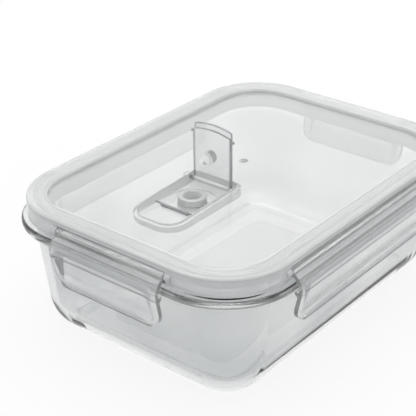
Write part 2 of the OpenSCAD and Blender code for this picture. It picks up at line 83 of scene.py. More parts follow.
# Vent
HINGE_X, HINGE_Z = -26.3, 75.2
WELL_W, WELL_T = 26.8, 1.8
WELL_END, WELL_START = -72.3, -21.5
WELL_FLOOR, WELL_LOW = 72.0, 69.7
FLAP_W, FLAP_L, FLAP_T, FLAP_BOW = 23, 31.4, 2.2, 43
LEDGE_D, LEDGE_BOW = 1.2, 40.2
FLAP_ROLL_R, FLAP_PIN_R = 1.3, 1.0
NUB_AT, NUB_R = 25.3, 0.75
PEG_AT, PEG_R, PEG_L = 15, 3.35, 5
PLUG_X = -41.3
BAR_X, BAR_HALF, BAR_T, BAR_H = PLUG_X - 13.15, 8.5, 1.5, 1.5
DISH_R, DISH_D = 12.4, 0.5
CUP_R, CUP_HOLLOW_R, CUP_TOP, CUP_FLOOR = 7.0, 4.6, 75.0, 70.1
NECK_R, NECK_TOP, NECK_LOW = 5.6, 71.6, 69.6
PLUG_FLANGE_R, PLUG_LOW, STEAM_R = 7.6, 68.1, 1.2


def mm(*values):
    """Millimetres in Blender's metres."""
    return tuple(v * MM for v in values)


# ---------- Hand tools ----------


def put_down():
    """Leaves edit mode and lets go of everything."""
    if bpy.context.object and bpy.context.object.mode != "OBJECT":
        bpy.ops.object.mode_set(mode="OBJECT")
    bpy.ops.object.select_all(action="DESELECT")


def take(piece):
    """Makes one piece the selected and active one."""
    put_down()
    piece.select_set(True)
    bpy.context.view_layer.objects.active = piece


def open_up(piece):
    """Takes a piece into edit mode."""
    take(piece)
    bpy.ops.object.mode_set(mode="EDIT")


def fresh(name):
    """The primitive that was just added, under its name."""
    piece = bpy.context.active_object
    piece.name = piece.data.name = name
    return piece


def set_place(piece):
    """Puts a piece's place into its mesh."""
    take(piece)
    bpy.ops.object.transform_apply(location=True, rotation=True, scale=True)
    return piece


def pick(piece, kind, wanted):
    """In edit mode, selects the verts, edges or faces whose middle, in millimetres, is wanted."""
    bpy.ops.mesh.select_mode(type={"verts": "VERT", "edges": "EDGE", "faces": "FACE"}[kind])
    bpy.ops.mesh.select_all(action="DESELECT")
    bm = bmesh.from_edit_mesh(piece.data)
    for part in getattr(bm, kind):
        if kind == "verts":
            middle = part.co
        elif kind == "edges":
            middle = (part.verts[0].co + part.verts[1].co) / 2
        else:
            middle = part.calc_center_median()
        part.select_set(bool(wanted(piece.matrix_world @ middle / MM)))
    bm.select_flush_mode()
    bmesh.update_edit_mesh(piece.data)


def modify(piece, kind, **settings):
    """Adds a modifier and applies it."""
    take(piece)
    tool = piece.modifiers.new("tool", kind)
    for name, value in settings.items():
        setattr(tool, name, value)
    bpy.ops.object.modifier_apply(modifier=tool.name)
    return piece


def work(piece, tool, how):
    """Welds a solid to a piece, cuts it away, or keeps what the two share."""
    modify(piece, "BOOLEAN", operation=how, solver="MANIFOLD", object=tool)
    bpy.data.objects.remove(tool)
    return piece


def soften(piece, width, angle, segments=2):
    """Rounds the edges that are sharper than an angle in degrees."""
    return modify(piece, "BEVEL", width=width * MM, segments=segments, limit_method="ANGLE",
                  angle_limit=math.radians(angle))


def duplicate(piece, name):
    take(piece)
    bpy.ops.object.duplicate()
    return fresh(name)


def outward(piece):
    """Merges doubles and turns all faces outwards."""
    open_up(piece)
    bpy.ops.mesh.select_all(action="SELECT")
    bpy.ops.mesh.remove_doubles(threshold=2e-6)
    bpy.ops.mesh.normals_make_consistent(inside=False)
    bpy.ops.object.mode_set(mode="OBJECT")
    return piece


def eased(corners, closed=True, fine=9):
    """A section through corners (out, up, radius), each rounded by its own radius."""
    path = []
    for i, (u, z, radius) in enumerate(corners):
        here = Vector((u, z))
        if radius == 0 or (not closed and i in (0, len(corners) - 1)):
            path.append(here)
            continue
        before = (Vector(corners[i - 1][:2]) - here).normalized()
        after = (Vector(corners[(i + 1) % len(corners)][:2]) - here).normalized()
        half = before.angle(after) / 2
        centre = here + (before + after).normalized() * radius / math.sin(half)
        start = here + before * radius / math.tan(half) - centre
        turn = start.angle_signed(here + after * radius / math.tan(half) - centre)
        steps = max(2, round(abs(math.degrees(turn)) / fine))
        for k in range(steps + 1):
            a = -turn * k / steps
            path.append(centre + Vector((start.x * math.cos(a) - start.y * math.sin(a),
                                         start.x * math.sin(a) + start.y * math.cos(a))))
    return path


def draw(name, points, closed=True):
    """Draws a chain of edges through points by pulling one corner along."""
    put_down()
    bpy.ops.mesh.primitive_plane_add(size=MM, location=mm(*points[0]))
    piece = fresh(name)
    bpy.ops.object.mode_set(mode="EDIT")
    bpy.ops.mesh.select_mode(type="VERT")
    bpy.ops.mesh.select_all(action="SELECT")
    bpy.ops.mesh.merge(type="CENTER")
    here = Vector(points[0])
    for there in list(points[1:]) + ([points[0]] if closed else []):
        step = (Vector(there) - here) * MM
        bpy.ops.mesh.extrude_region_move(TRANSFORM_OT_translate={"value": step})
        here = Vector(there)
    bpy.ops.mesh.select_all(action="SELECT")
    bpy.ops.mesh.remove_doubles(threshold=1e-6)
    bpy.ops.mesh.select_all(action="SELECT")
    return piece


def pull(x=0.0, y=0.0, z=0.0):
    """Extrudes what is selected by a distance."""
    bpy.ops.mesh.extrude_region_move(TRANSFORM_OT_translate={"value": mm(x, y, z)})


def prism(name, points, length):
    """A closed section, drawn in the plane of its points, pulled along a direction."""
    piece = draw(name, points)
    bpy.ops.mesh.edge_face_add()
    pull(*length)
    bpy.ops.mesh.select_all(action="SELECT")
    bpy.ops.mesh.normals_make_consistent(inside=False)
    return set_place(piece)


def block(name, low, high, radii=(), axis=2, segments=6):
    """A box between two corners. Each (radius, wanted) rounds the wanted edges along one axis."""
    put_down()
    middle = [(a + b) / 2 for a, b in zip(low, high)]
    size = [b - a for a, b in zip(low, high)]
    bpy.ops.mesh.primitive_cube_add(size=1, location=mm(*middle), scale=mm(*size))
    piece = set_place(fresh(name))
    bpy.ops.object.mode_set(mode="EDIT")
    others = [i for i in range(3) if i != axis]
    for radius, wanted in radii:
        pick(piece, "edges", lambda p: abs(p[axis] - middle[axis]) < NEAR
             and all(abs(abs(p[i] - middle[i]) - size[i] / 2) < NEAR for i in others) and wanted(p))
        bpy.ops.mesh.bevel(offset=radius * MM, segments=segments, affect="EDGES")
    bpy.ops.object.mode_set(mode="OBJECT")
    return piece


def rod(name, middle, radius, length, turn=(0, 0, 0), sides=48, ease=0.0):
    """A round bar with its rims eased."""
    put_down()
    bpy.ops.mesh.primitive_cylinder_add(vertices=sides, radius=radius * MM, depth=length * MM,
                                        location=mm(*middle), rotation=turn)
    piece = set_place(fresh(name))
    return soften(piece, ease, 50, segments=4) if ease else piece


def ease_low_edges(piece, z, radius):
    """Rounds the edges of a piece that lie at one height."""
    open_up(piece)
    pick(piece, "edges", lambda p: abs(p.z - z) < NEAR)
    bpy.ops.mesh.bevel(offset=radius * MM, segments=4, affect="EDGES")
    bpy.ops.object.mode_set(mode="OBJECT")


def corner_sweep(name, section, to_x, to_y, closed=True, turns=20):
    """Spins a section round the lid's near right corner and pulls its two ends along the sides."""
    cx, cy = LID_L / 2 - LID_R, LID_W / 2 - LID_R
    piece = draw(name, [(cx, -LID_W / 2 - u, z) for u, z in section], closed)
    pull(x=to_x - cx)
    pick(piece, "verts", lambda p: abs(p.x - cx) < NEAR)
    bpy.ops.mesh.spin(steps=turns, angle=-QUARTER, center=mm(cx, -cy, 0), axis=(0, 0, 1))
    pull(y=cy + to_y)
    return set_place(piece)


def all_round(name, section, closed=True, turns=20):
    """A section that runs right round the rounded rectangle of the lid's edge."""
    piece = corner_sweep(name, section, 0, 0, closed, turns)
    return modify(piece, "MIRROR", use_axis=(True, True, False), merge_threshold=2e-6)


def finish(piece, node, body, finishes, which=None, angle=30):
    """Finishes a piece: smooth faces, its finishes and the body it moves with, and hides the solid it stands
    for.

    which says which of the finishes a face takes."""
    take(piece)
    bpy.ops.object.shade_smooth_by_angle(angle=math.radians(angle))
    modify(piece, "WEIGHTED_NORMAL", mode="FACE_AREA", weight=100, keep_sharp=True)
    piece.data.materials.clear()
    for material in finishes:
        piece.data.materials.append(material)
    for face in piece.data.polygons:
        face.material_index = int(which(face)) if which else 0
    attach(piece, body)
    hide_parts(node)


# ---------- Camera ----------


def set_camera():
    """A long lens that looks down on the corner between the vent's end and a long side."""
    azimuth, elevation, roll = (math.radians(v) for v in (-50.882, 28.221, -0.499))
    back = Vector((math.sin(azimuth) * math.cos(elevation),
                   -math.cos(azimuth) * math.cos(elevation), math.sin(elevation)))
    level = Vector((math.cos(azimuth), math.sin(azimuth), 0))
    steep = back.cross(level)
    right = math.cos(roll) * level + math.sin(roll) * steep
    up = math.cos(roll) * steep - math.sin(roll) * level
    data = bpy.data.cameras.new("studio_camera")
    data.sensor_fit = "HORIZONTAL"
    data.sensor_width, data.lens = 36, 103.38
    data.clip_start, data.clip_end = 0.05, 20
    camera = bpy.data.objects.new("studio_camera", data)
    bpy.context.collection.objects.link(camera)
    place = Matrix((right, up, back)).transposed().to_4x4()
    place.translation = mm(-437.14, -331.70, 344.86)
    camera.matrix_world = place
    bpy.context.scene.camera = camera


# ---------- Finishes ----------


class Flow:
    """A value that changes over a surface. Arithmetic on it adds Math nodes."""

    def __init__(self, finish_of, socket):
        self.finish_of, self.socket = finish_of, socket

    def root(self):
        return self.finish_of.maths("POWER", self, 0.5)

    def __add__(self, other):
        return self.finish_of.maths("ADD", self, other)

    def __mul__(self, other):
        return self.finish_of.maths("MULTIPLY", self, other)

    def __sub__(self, other):
        return self.finish_of.maths("SUBTRACT", self, other)

    def __rsub__(self, other):
        return self.finish_of.maths("SUBTRACT", other, self)

    __radd__, __rmul__ = __add__, __mul__


class Finish:
    """One finish, built node by node."""

    def __init__(self, name, world=None):
        self.material = world or bpy.data.materials.new(name)
        self.material.use_nodes = True
        self.tree = self.material.node_tree
        self.tree.nodes.clear()

    def node(self, kind, settings=None, sockets=None, out=0):
        """Adds a node: its settings first, then the values or links of its sockets."""
        made = self.tree.nodes.new(kind)
        for name, value in (settings or {}).items():
            if name == "stops":
                ramp = made.color_ramp
                while len(ramp.elements) < len(value):
                    ramp.elements.new(0.5)
                for element, (at, colour) in zip(ramp.elements, value):
                    element.position, element.color = at, colour
            else:
                setattr(made, name, value)
        for name, value in (sockets or {}).items():
            if isinstance(value, Flow):
                self.tree.links.new(value.socket, made.inputs[name])
            else:
                made.inputs[name].default_value = value
        return Flow(self, made.outputs[out])

    def maths(self, operation, first, second):
        return self.node("ShaderNodeMath", {"operation": operation}, {0: first, 1: second})

    def place(self):
        return self.node("ShaderNodeTexCoord", out="Object")

    def along(self, axis):
        """The place on one axis, in millimetres."""
        return self.node("ShaderNodeSeparateXYZ", {}, {"Vector": self.place()}, out=axis) * 1000

    def noise(self, scale, detail=2.0, roughness=0.5, stretch=(1, 1, 1)):
        """Cloudy variation, scale per metre, stretched along an axis where asked."""
        at = self.node("ShaderNodeMapping", {"vector_type": "POINT"},
                       {"Vector": self.place(), "Scale": stretch})
        return self.node("ShaderNodeTexNoise", {}, {"Vector": at, "Scale": scale, "Detail": detail,
                                                    "Roughness": roughness})

    def ramp(self, factor, *stops):
        """Grades a factor through stops (place from 0 to 1, value)."""
        return self.node("ShaderNodeValToRGB", {"stops": [(at, (v, v, v, 1)) for at, v in stops]},
                         {"Fac": factor})

    def graded(self, distance, reach, *stops):
        """Grades a distance in millimetres, up to its reach, through stops (distance, value)."""
        return self.ramp(distance * (1 / reach), *((at / reach, value) for at, value in stops))

    def tint(self, factor, first, second):
        first, second = (c if isinstance(c, Flow) else (*c, 1) for c in (first, second))
        return self.node("ShaderNodeMix", {"data_type": "RGBA"}, {"Factor": factor, 6: first, 7: second},
                         out=2)

    def bump(self, height, strength, distance):
        return self.node("ShaderNodeBump", {},
                         {"Height": height, "Strength": strength, "Distance": distance * MM})

    def surface(self, **sockets):
        names = {k.replace("_", " "): v for k, v in sockets.items()}
        return self.hand_over(self.node("ShaderNodeBsdfPrincipled", {}, names))

    def hand_over(self, shader, end="ShaderNodeOutputMaterial"):
        self.tree.links.new(shader.socket, self.tree.nodes.new(end).inputs["Surface"])
        return self.material


def pressed_glass(name, polished):
    """Thick pressed glass: walls painted greyer than the floor and flange as painted shade, slow waves from
    the mould, fine grain and rub marks.

    Where it is polished, a thin line along the turn of the inner floor is glossier."""
    f = Finish(name)
    waves = f.noise(16, 1.0)
    grain = f.noise(240, 2.0)
    rubs = f.ramp(f.noise(70, 4.0, 0.6, (1, 1, 6)), (0.52, 0), (0.74, 1))
    height = f.along("Z")
    # painted shade: by height, the walls are tinted darker grey than the floor and the top of the flange
    wall = f.graded(height, 75.19, (5.263, 0), (15.79, 1), (57.144, 1), (62.408, 0.15))
    grey = f.tint(f.ramp(waves, (0.36, 0), (0.64, 1)), (0.62, 0.637, 0.643), (0.77, 0.782, 0.786))
    line = f.graded(height, 10, (4.9, 0), (5.05, 1), (5.5, 1), (5.7, 0)) if polished else 0.0
    return f.surface(Base_Color=f.tint(wall, (0.87, 0.88, 0.877), grey),
                     Roughness=rubs * 0.02 + 0.002, IOR=1.5, Transmission_Weight=1.0,
                     Coat_Weight=line, Coat_IOR=3.2, Coat_Roughness=0.05,
                     Normal=f.bump(waves + grain * 0.02, 0.1, 0.6))


def lid_plastic(name, clearness, dark, pale):
    """Moulded lid plastic with slow flow waves and fine scuffs."""
    f = Finish(name)
    flow = f.noise(22, 2.0, 0.5, (1, 1.4, 1))
    scuffs = f.ramp(f.noise(160, 5.0, 0.65), (0.6, 0), (0.85, 1))
    return f.surface(Base_Color=f.tint(flow, dark, pale), Roughness=scuffs * 0.06 + 0.03, IOR=1.49,
                     Transmission_Weight=clearness, Normal=f.bump(flow, 0.05, 0.05))


def flap_plastic():
    """The flap's clear plastic, with painted shade: darker along the two sides and the curved end of its
    plate.
    """
    f = Finish("flap_plastic")
    flow = f.noise(40, 2.0)
    across, up = f.along("Y"), f.along("Z") - (HINGE_Z + FLAP_L - FLAP_BOW)
    # painted shade: thin dark bands along the plate's sides and its curved end
    sides = f.graded((across * across).root(), 12.5, (10.8125, 0), (11.0625, 1))
    bow = f.graded((across * across + up * up).root(), 50, (42.35, 0), (42.55, 1))
    face = f.tint(flow, (0.95, 0.956, 0.958), (0.975, 0.98, 0.981))
    return f.surface(Base_Color=f.tint(f.maths("MAXIMUM", sides, bow), face, (0.50, 0.515, 0.52)),
                     Roughness=flow * 0.03 + 0.03, IOR=1.49, Transmission_Weight=0.8,
                     Normal=f.bump(flow, 0.05, 0.05))


def painted_edge_shade_plastic():
    """The thin edges of clear parts, painted darker than their faces as painted shade, with fine drag lines.
    """
    f = Finish("painted_edge_shade_plastic")
    lines = f.noise(260, 3.0, 0.5, (1, 1, 4))
    return f.surface(Base_Color=f.tint(lines, (0.42, 0.44, 0.445), (0.52, 0.535, 0.54)),
                     Roughness=lines * 0.1 + 0.12, IOR=1.49, Transmission_Weight=0.55,
                     Normal=f.bump(lines, 0.1, 0.05))


def latch_plastic(name, dark, pale, clearness, satin):
    """The latches' clearer, harder plastic with handling scuffs. More satin makes it less glossy."""
    f = Finish(name)
    flow = f.noise(30, 2.0)
    scuffs = f.ramp(f.noise(190, 5.0, 0.6, (4, 4, 1)), (0.55, 0), (0.8, 1))
    return f.surface(Base_Color=f.tint(flow, dark, pale),
                     Roughness=scuffs * 0.06 + satin, IOR=1.5, Transmission_Weight=clearness,
                     Normal=f.bump(flow + scuffs * 0.03, 0.05, 0.06))


def milky_silicone():
    """Translucent silicone with a fine powdery grain, painted paler inside the plug's cup as painted light
    against the cup's shade.
    """
    f = Finish("milky_silicone")
    grain = f.noise(900, 3.0)
    clouds = f.noise(45, 2.0)
    across, along = f.along("X") - PLUG_X, f.along("Y")
    # painted light: the inside of the plug's cup is tinted near white
    cup = f.graded((across * across + along * along).root(), 10, (4.3, 0), (4.8, 1))
    body = f.tint(clouds, (0.83, 0.843, 0.847), (0.87, 0.88, 0.883))
    return f.surface(Base_Color=f.tint(cup, (0.98, 0.985, 0.986), body),
                     Roughness=grain * 0.12 + 0.32, IOR=1.41, Transmission_Weight=0.5,
                     Normal=f.bump(grain, 0.15, 0.15))


# ---------- Glass container ----------


def everywhere(p):
    """For block: rounds all the edges along its axis."""
    return True


def make_container(glass, polished_glass):
    """The pressed glass tub: one section from the inner floor over the lip and flange to the foot."""
    def wall(z, inset):
        return -inset - DRAFT * (FLANGE_TOP - z)

    def floor_turn(face):
        return face.normal.z > 0.6 and FLOOR_T + 0.1 < face.center.z / MM < FLOOR_T + 2

    inner = GLASS_INSET + GLASS_T
    section = eased([
        (-FLOOR_INSET, FLOOR_T, 0), (wall(FLOOR_T, inner), FLOOR_T, FOOT_R - GLASS_T),
        (wall(LIP_TOP, inner), LIP_TOP, 1.0), (LIP_OUT, LIP_TOP, 1.1), (LIP_OUT, FLANGE_TOP, 0.5),
        (FLANGE_OUT, FLANGE_TOP, 2.0), (FLANGE_OUT, FLANGE_LOW, 2.0),
        (wall(FLANGE_LOW, GLASS_INSET), FLANGE_LOW, 1.5), (wall(0, GLASS_INSET), 0, FOOT_R),
        (-FLOOR_INSET, 0, 0)], closed=False, fine=7)
    tub = all_round("glass_tub", section, closed=False, turns=24)
    tighten_corners(tub)
    open_up(tub)
    for floor in (FLOOR_T, 0):
        pick(tub, "edges", lambda p: abs(p.z - floor) < NEAR and inside_floor(p))
        bpy.ops.mesh.edge_face_add()
    outward(tub)
    foot = DRAFT * (FLANGE_TOP - FOOT_R) + FOOT_R + FOOT_W + GLASS_INSET
    half_l, half_w = LID_L / 2 - foot, LID_W / 2 - foot
    work(tub, block("punt", (-half_l, -half_w, -PUNT_H), (half_l, half_w, PUNT_H),
                    [(PUNT_R, everywhere)]), "DIFFERENCE")
    finish(tub, "glass_container", "container", [glass, polished_glass], floor_turn)


def inside_floor(p):
    """Whether a point lies over the flat floor."""
    inset = FLOOR_INSET - 0.1
    return abs(p.x) < LID_L / 2 - inset and abs(p.y) < LID_W / 2 - inset


def tighten_corners(tub):
    """The glass wall turns its corners on a smaller radius than the flange above it.

    The pull outward grows from nothing to its whole over a short way in. Above the middle of the
    flange it starts at the lip's outer face, and below that 3 mm in from the lid's edge."""
    cx, cy = LID_L / 2 - LID_R, LID_W / 2 - LID_R
    for vert in tub.data.vertices:
        x, y, z = (abs(v) / MM for v in vert.co)
        across, along = max(0, x - cx), max(0, y - cy)
        reach = math.hypot(across, along)
        if x < cx - NEAR and y < cy - NEAR or reach == 0:
            continue
        u = (reach - LID_R) if across and along else max(x - LID_L / 2, y - LID_W / 2)
        above = z > (FLANGE_TOP + FLANGE_LOW) / 2
        start, way = (LIP_OUT, LIP_PULL_WAY) if above else (UNDER_PULL_OUT, UNDER_PULL_WAY)
        share = min(1, max(0, (start - u) / way)) * CORNER_PULL
        if x > cx - NEAR:
            vert.co.x += math.copysign(share * (1 - across / reach) * MM, vert.co.x)
        if y > cy - NEAR:
            vert.co.y += math.copysign(share * (1 - along / reach) * MM, vert.co.y)


# ---------- Lid ----------


def past_corner(x, y):
    """How far a point of the plan is past the middle of the nearest rounded corner, each way."""
    return max(0, abs(x) - (LID_L / 2 - LID_R)), max(0, abs(y) - (LID_W / 2 - LID_R))


def past_edge(x, y):
    """How far a point of the plan is outside the lid's edge."""
    return math.hypot(*past_corner(x, y)) - LID_R


def inside_panel(x, y):
    """Whether a point of the plan lies on the panel, inside the rim's inner edge."""
    if all(past_corner(x, y)):
        return past_edge(x, y) < WALL_IN - 0.2
    return abs(x) < PANEL_A - 0.2 and abs(y) < PANEL_B - 0.2


def crown(x, y):
    """Height of the panel's upper face over a point of the plan."""
    return RIM_H - PANEL_DROP + CROWN_H * max(0, 1 - (x / PANEL_A) ** 2) * max(0, 1 - (y / PANEL_B) ** 2)


def crowned_slab(name, drop, depth):
    """A slab whose upper face follows the crown, a drop below it, and whose lower face follows too."""
    put_down()
    wall_t = WALL_OUT - WALL_IN
    size = (2 * PANEL_A + wall_t, 2 * PANEL_B + wall_t, 1)
    bpy.ops.mesh.primitive_grid_add(x_subdivisions=64, y_subdivisions=48, size=1, scale=mm(*size))
    slab = set_place(fresh(name))
    bpy.ops.object.mode_set(mode="EDIT")
    bpy.ops.mesh.select_all(action="SELECT")
    pull(z=-depth)
    bpy.ops.object.mode_set(mode="OBJECT")
    for vert in slab.data.vertices:
        vert.co.z += (crown(vert.co.x / MM, vert.co.y / MM) - drop) * MM
    return outward(slab)


def make_panel():
    """The crowned clear panel, rounded to run into the wall that reaches inside the glass."""
    edge = (WALL_OUT - WALL_IN) / 2
    a, b = PANEL_A + edge, PANEL_B + edge
    plan = block("panel", (-a, -b, RIM_H - 8), (a, b, RIM_H + 8), [(LID_R + WALL_IN + edge, everywhere)],
                 segments=20)
    return work(crowned_slab("panel_faces", 0, PANEL_T), plan, "INTERSECT")


def well_shape(name, wall, low, high, end_r, start_r, low_r):
    """The well's plan, grown by its wall, between two heights, with its low edges eased."""
    half = WELL_W / 2 + wall
    middle = (WELL_END + WELL_START) / 2
    shape = block(name, (WELL_END - wall, -half, low), (WELL_START + wall, half, high),
                  [(end_r, lambda p: p.x < middle), (start_r, lambda p: p.x > middle)], segments=10)
    ease_low_edges(shape, low, low_r)
    return shape


def make_well_walls():
    """Walls and floor of the vent's well, cut level with the crown."""
    plan = well_shape("well_walls", WELL_T, WELL_LOW, RIM_H + 8, 10.8, 3.8, 0.6)
    return work(crowned_slab("under_crown", PANEL_T / 4, 14), plan, "INTERSECT")


def well_hollow():
    """What the well takes out of the lid: the finger space, the dish round the plug and its hole."""
    hollow = well_shape("well_hollow", 0, WELL_FLOOR, RIM_H + 9, 9, 2, 0.7)
    work(hollow, rod("dish", (PLUG_X, 0, WELL_FLOOR + 1 - DISH_D), DISH_R, 2, sides=96), "UNION")
    return work(hollow, rod("plug_hole", (PLUG_X, 0, WELL_FLOOR), NECK_R + 0.1, 8), "UNION")


def on_all_ends(piece, name):
    """Copies what was modelled at a latch's right end to the eight ends of the four latches."""
    copies = []
    for turn, distance, length in ((0, LID_W, LONG_LATCH), (180, LID_W, LONG_LATCH),
                                   (-90, LID_L, SHORT_LATCH), (90, LID_L, SHORT_LATCH)):
        for end in (-1, 1):
            copy = duplicate(piece, name)
            shift = Matrix.Translation(mm(end * length / 2, -distance / 2, 0))
            copy.matrix_world = (Matrix.Rotation(math.radians(turn), 4, "Z") @ shift
                                 @ Matrix.Scale(end, 4, (1, 0, 0)))
            copies.append(set_place(copy))
    bpy.data.objects.remove(piece)
    put_down()
    for copy in copies:
        copy.select_set(True)
    bpy.context.view_layer.objects.active = copies[0]
    bpy.ops.object.join()
    return outward(copies[0])


def make_ears():
    """An ear that carries a latch's pin: a round nose on stepped blocks that run up into the rim."""
    width, top = PIN_L + 0.6, RIM_H - 1.75
    ear = rod("ear", (GAP + width / 2, -ROLL_OUT, ROLL_Z), EAR_R, width, (0, QUARTER, 0), 32, 0.25)
    for near, far, low in ((-ROLL_OUT, 3.05, ROLL_Z - EAR_R), (1.7, 4.1, SKIRT_LOW), (4.0, 5.0, RIB_LOW)):
        work(ear, block("ear_block", (GAP, near, low), (GAP + width, far, top)), "UNION")
    return on_all_ends(ear, "ears")


def make_pin_bores():
    """The blind bores in the ears for the latches' pins."""
    bore = rod("bore", (PIN_L / 2 + 0.4, -ROLL_OUT, ROLL_Z), PIN_R + PIN_GAP, PIN_L + 0.75,
               (0, QUARTER, 0), 24)
    return on_all_ends(bore, "pin_bores")


def make_skirts():
    """The skirt round the four corners, between the latches."""
    top = RIM_H - 1.3
    section = eased([(-SKIRT_T, SKIRT_LOW, 0.5), (0, SKIRT_LOW, 0.7), (0, top, 0), (-SKIRT_T, top, 0)],
                    fine=20)
    bay_x, bay_y = LONG_LATCH / 2 + GAP, -SHORT_LATCH / 2 - GAP
    skirt = corner_sweep("skirts", section, bay_x, bay_y)
    open_up(skirt)
    for end in (lambda p: abs(p.x - bay_x) < NEAR, lambda p: abs(p.y - bay_y) < NEAR):
        pick(skirt, "edges", end)
        bpy.ops.mesh.edge_face_add()
    outward(skirt)
    modify(skirt, "MIRROR", use_axis=(True, True, False))
    return outward(skirt)


def fine_groove(u):
    """The three corners of a fine groove in the rim's top."""
    return [(u - GROOVE_W / 2, RIM_H, 0), (u, RIM_H - GROOVE_D, 0), (u + GROOVE_W / 2, RIM_H, 0)]


def sink_well(lid):
    """Adds the two bosses of the flap's hinge, then cuts the well and the bores of the flap's pins."""
    for side in (-1, 1):
        work(lid, rod("boss", (HINGE_X, side * (WELL_W / 2 + WELL_T), HINGE_Z), EAR_R, 3.6,
                      (QUARTER, 0, 0), 32, 0.3), "UNION")
    work(lid, well_hollow(), "DIFFERENCE")
    work(lid, rod("flap_bore", (HINGE_X, 0, HINGE_Z), FLAP_PIN_R + PIN_GAP, WELL_W + 2.7,
                  (QUARTER, 0, 0), 32), "DIFFERENCE")


def add_bar(lid):
    """The bar across the well's floor beyond the plug, and the ribs from its ends to the walls."""
    strips = [("bar", BAR_X - BAR_T / 2, BAR_X + BAR_T / 2, -BAR_HALF, BAR_HALF, -0.6, BAR_H, 0.5)]
    for side in (-1, 1):
        ends = sorted((side * (BAR_HALF - 0.1), side * (WELL_W / 2 + 0.4)))
        strips.append(("rib", BAR_X + 1, BAR_X + 2, *ends, -0.7, 0.7, 0.3))
    for name, x1, x2, y1, y2, low, high, ease in strips:
        strip = block(name, (x1, y1, WELL_FLOOR + low), (x2, y2, WELL_FLOOR + high),
                      [(ease, lambda p: p.z > WELL_FLOOR)], axis=1, segments=3)
        work(lid, strip, "UNION")


def add_gate(lid):
    """The mark of the mould's gate on top of the crown: a shallow round recess with a pip in it."""
    top = crown(0, 0)
    work(lid, rod("gate", (0, 0, top - GATE_D + 1), GATE_R, 2, sides=40), "DIFFERENCE")
    work(lid, rod("gate_pip", (0, 0, top - 0.1 - GATE_PIP_H / 2), GATE_PIP_R, GATE_PIP_H, sides=24,
                  ease=0.1), "UNION")


def make_lid(rim, panel, edge, skirt):
    """Rim, gasket rib and inner wall in one section, then the panel, the well, the skirts and the ears.

    The rim, the panel, the skirts and the thin edges each have a finish of their own; the skirts and the thin
    edges are painted darker as painted shade."""
    def finish_of(face):
        x, y, z = (v / MM for v in face.center)
        from_gate, level = math.hypot(x, y), abs(face.normal.z)
        # side faces take the skirt plastic, which is painted darker as painted shade
        if z < RIM_H - 1 and level < 0.7 and past_edge(x, y) > -1:
            return 3
        # the gate mark, the bar and its ribs take the dark edge plastic: painted shade
        if from_gate < 1 or from_gate < GATE_R + 0.2 and level < 0.7:
            return 2
        if abs(x - BAR_X) < 2.1 and abs(y) < WELL_W / 2 and WELL_FLOOR + 0.05 < z < WELL_FLOOR + 1.8:
            return 2
        well_wall = level < 0.8 and z < crown(x, y) - 0.4
        return int(z > WELL_LOW - 0.5 and inside_panel(x, y) and not well_wall)

    section = eased([
        (WALL_IN, RIM_H, 0.9), *(point for u in GROOVES for point in fine_groove(u)),
        (0, RIM_H, 1.2), (0, RIM_H - EAVE_T, 1.2), (RIB_OUT, RIM_H - EAVE_T, 0.3),
        (RIB_OUT, RIB_LOW, 0.25), (RIB_IN, RIB_LOW, 0.25), (RIB_IN, RIM_H - RIM_T, 0.2),
        (WALL_OUT, RIM_H - RIM_T, 0.2), (WALL_OUT, RIM_H - WALL_H, 0.6), (WALL_IN, RIM_H - WALL_H, 0.6)],
        fine=15)
    lid = outward(all_round("lid_shell", section))
    for part in (make_panel(), make_well_walls(), make_skirts(), make_ears()):
        work(lid, part, "UNION")
    sink_well(lid)
    work(lid, make_pin_bores(), "DIFFERENCE")
    add_bar(lid)
    add_gate(lid)
    finish(lid, "lid", "lid_body", [rim, panel, edge, skirt], finish_of)


def make_gasket(material):
    """The silicone ring: a bar with two sealing lips under it."""
    groove_top = GASKET_LOW + GASKET_GROOVE
    lip_out, lip_in = GASKET_OUT - GASKET_LIP_T, GASKET_IN + GASKET_LIP_T
    section = eased([
        (GASKET_IN, GASKET_TOP, 0.3), (GASKET_OUT, GASKET_TOP, 0.3), (GASKET_OUT, GASKET_LOW, 0.5),
        (lip_out, GASKET_LOW, 0.5), (lip_out, groove_top, 0.3), (lip_in, groove_top, 0.3),
        (lip_in, GASKET_LOW, 0.5), (GASKET_IN, GASKET_LOW, 0.5)], fine=20)
    gasket = outward(all_round("seal_ring", section))
    finish(gasket, "lid_gasket", "lid_body", [material])


# ---------- Latches ----------


def arc(out, up, radius, start, end, steps):
    """Points on an arc of a latch's section, between two angles in degrees."""
    turns = [math.radians(start + (end - start) * k / steps) for k in range(steps + 1)]
    return [(out + radius * math.cos(a), up + radius * math.sin(a)) for a in turns]


def latch_section():
    """Hinge roll, round shoulder over the glass flange, hook, leaning plate and pull lip."""
    inner_end, outer_end = (3.87, 60.1, 0), (PLATE_OUT, PLATE_TOP, 0)
    hook = [(1.6, 60.1, 0.25), (2.0, 58.5, 0.3), (3.37, 57.74, 0.3)]
    lip = [(0.754, 45.44, 1.5), (1.804, LATCH_LOW, 0.5), (4.208, LATCH_LOW, 0.7), (2.808, 45.0, 1.0)]
    tail = [tuple(p) for p in eased([inner_end, *hook, *lip, outer_end], closed=False, fine=10)]
    shoulder = (SHOULDER_OUT, SHOULDER_Z)
    return (arc(ROLL_OUT, ROLL_Z, ROLL_R, -12, 180, 20)
            + arc(*shoulder, SHOULDER_R - LATCH_T, 89.6, -11.36, 12)
            + tail[1:-1] + arc(*shoulder, SHOULDER_R, -12, 63.5, 12))


def plate_face(z):
    """How far a latch's outer face stands out past the lid's edge at a height."""
    if z > PLATE_TOP:
        return SHOULDER_OUT + math.sqrt(SHOULDER_R ** 2 - (z - SHOULDER_Z) ** 2)
    return PLATE_OUT - math.tan(LEAN) * (PLATE_TOP - z)


